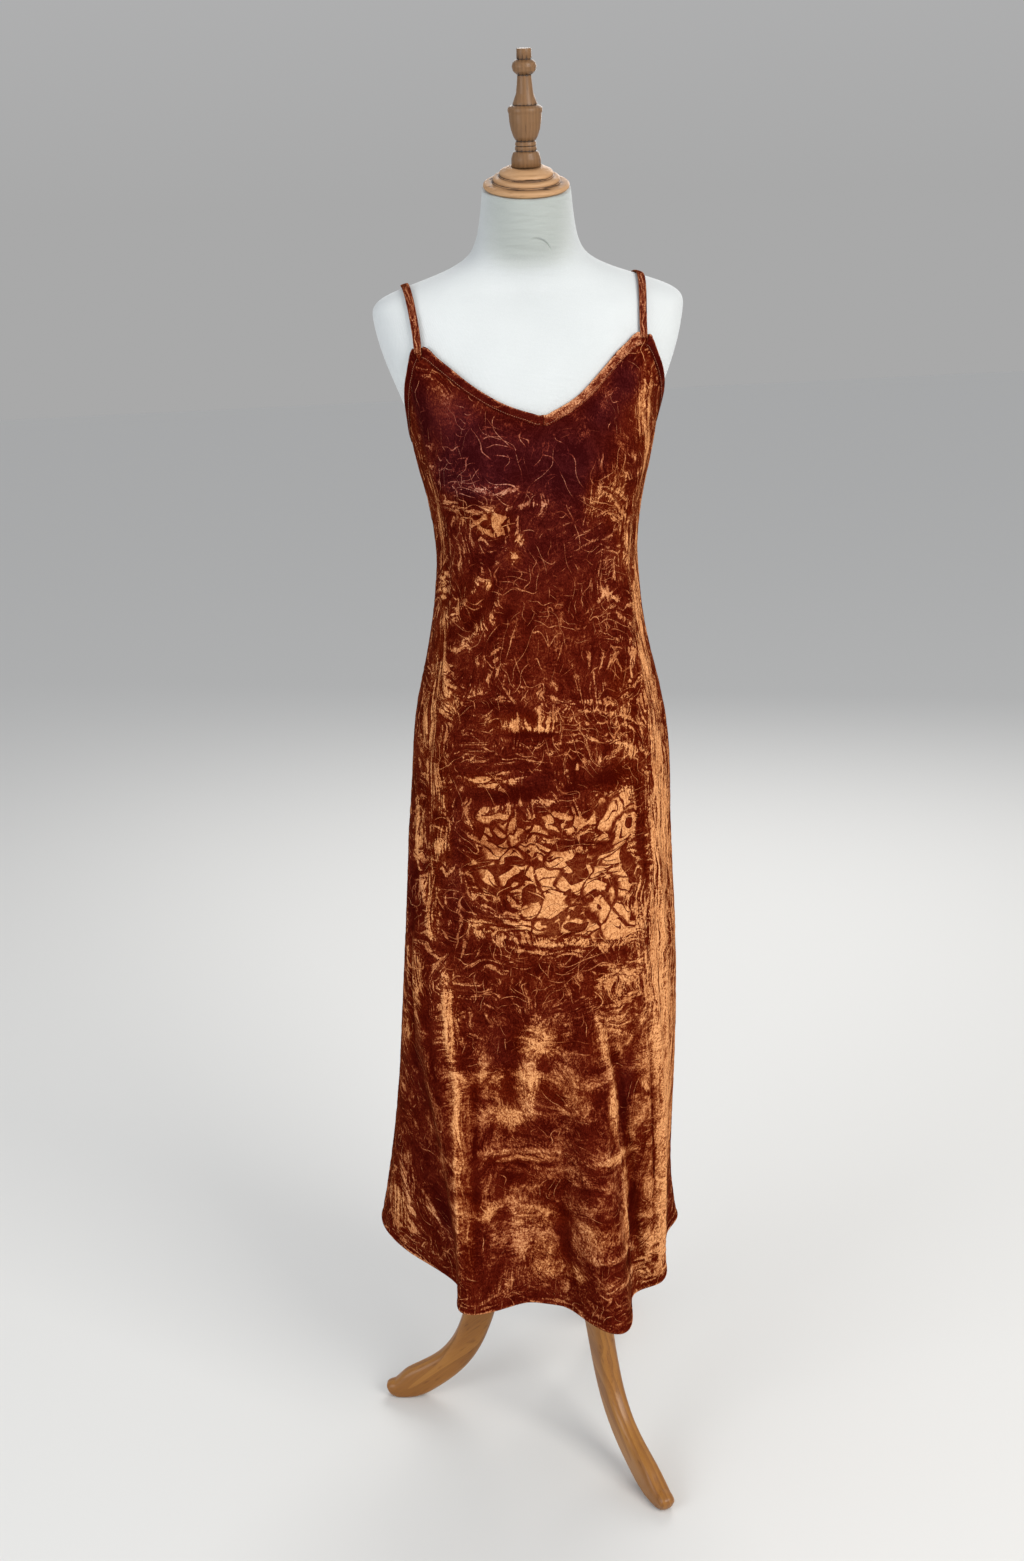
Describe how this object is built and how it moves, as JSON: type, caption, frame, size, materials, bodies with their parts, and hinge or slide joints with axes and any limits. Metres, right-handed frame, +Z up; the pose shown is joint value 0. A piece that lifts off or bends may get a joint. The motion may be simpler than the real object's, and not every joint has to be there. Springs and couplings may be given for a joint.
{
  "type": "slip dress on a limbless dress form",
  "caption": "Sleeveless crushed velvet slip dress with thin shoulder straps, worn by a limbless jersey dress form on a wooden tripod stand.",
  "frame": {"origin": "middle of the whole object's bounding box, on the floor that its three feet stand on; the pole's axis is 30.9 mm towards +X and 18.5 mm towards +Y of it", "axes": "+Z up along the pole; -Y is the dress's front; +X is the wearer's left"},
  "size_m": [0.4433, 0.4996, 1.8093],
  "materials": {
    "crushed_velvet": "rust-brown velvet, its pile crushed into lighter copper streaks",
    "white_jersey": "matte fine-knit cotton jersey",
    "turned_pale_wood": "turned beech, satin",
    "varnished_wood": "golden-brown satin varnish"
  },
  "bodies": {
    "root": {"dress_front": "crushed_velvet", "dress_back": "crushed_velvet", "neck_binding_left": "crushed_velvet", "neck_binding_right": "crushed_velvet", "armhole_binding_left": "crushed_velvet", "armhole_binding_right": "crushed_velvet", "back_binding": "crushed_velvet", "strap_left": "crushed_velvet", "strap_right": "crushed_velvet", "form_torso": "white_jersey", "neck_cap": "turned_pale_wood", "finial": "turned_pale_wood", "pole": "varnished_wood", "leg_hub": "varnished_wood", "leg_front": "varnished_wood", "leg_right": "varnished_wood", "leg_back": "varnished_wood"}
  },
  "joints": []
}
